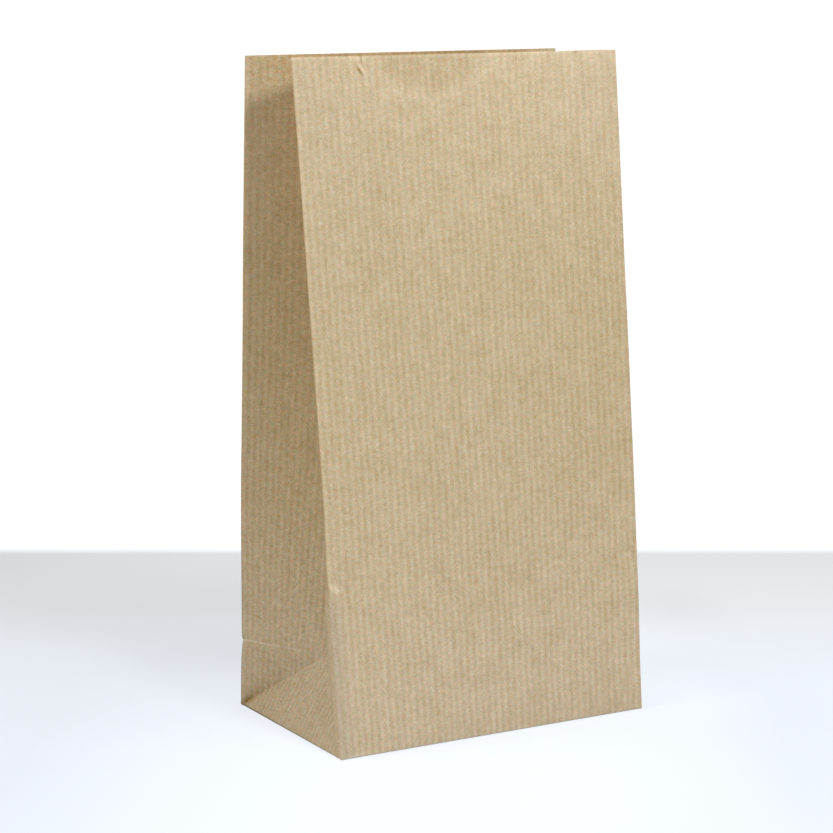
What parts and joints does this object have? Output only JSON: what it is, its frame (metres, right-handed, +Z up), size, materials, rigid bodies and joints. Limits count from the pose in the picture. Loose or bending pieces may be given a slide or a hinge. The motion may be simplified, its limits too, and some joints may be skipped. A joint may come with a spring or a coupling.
{
  "type": "paper bag",
  "caption": "Open block-bottom bag of brown ribbed kraft paper, with folded side gussets and a flat folded bottom.",
  "frame": {"origin": "middle of the footprint, on the surface that the bag stands on", "axes": "+Z up towards the open mouth, front panel towards -Y, back panel with the glued seam towards +Y, gussets at -X and +X"},
  "size_m": [0.1274, 0.0831, 0.244],
  "materials": {
    "kraft_paper": "matt brown kraft paper with fine upright ribs"
  },
  "bodies": {
    "root": {"paper_bag": "kraft_paper"}
  },
  "joints": []
}
